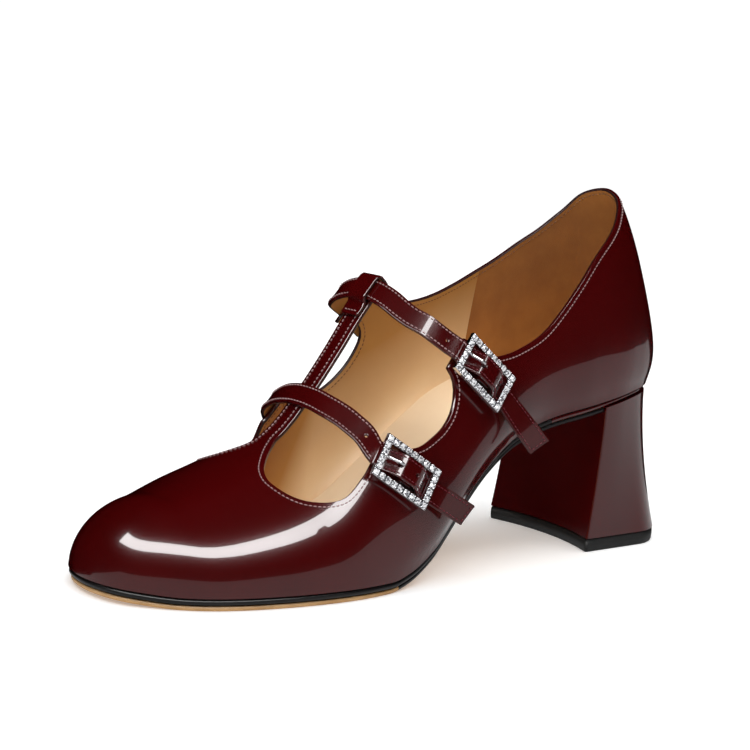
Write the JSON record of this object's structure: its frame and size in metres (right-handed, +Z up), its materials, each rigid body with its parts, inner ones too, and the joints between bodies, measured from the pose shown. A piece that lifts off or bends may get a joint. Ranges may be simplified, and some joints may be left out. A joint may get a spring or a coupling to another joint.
{
  "type": "mary jane shoe",
  "caption": "Patent leather mary jane pump with a T-bar, crossing buckled straps, an open collar and a flared block heel.",
  "frame": {"origin": "centre of the heel's floor face, on the floor", "axes": "+Z up, -X to the toe, -Y to the outer side of the foot, where the buckles are"},
  "size_m": [0.2518, 0.0878, 0.1341],
  "materials": {
    "patent": "burgundy patent, mirror gloss",
    "black_edge": "painted black edge, satin",
    "insole": "cream leather, matt",
    "sole_leather": "tan sole leather, satin",
    "lift_rubber": "black rubber, matt",
    "silver": "polished silver"
  },
  "bodies": {
    "root": {"upper": "patent", "rand": "black_edge", "insole": "insole", "outsole": "sole_leather", "heel_block": "patent", "top_lift": "lift_rubber", "strap_front": "patent", "strap_rear": "patent", "t_bar_loop": "patent", "buckle_front": "silver", "buckle_rear": "silver", "prong_front": "silver", "prong_rear": "silver", "buckle_tab_front": "patent", "buckle_tab_rear": "patent"}
  },
  "joints": []
}
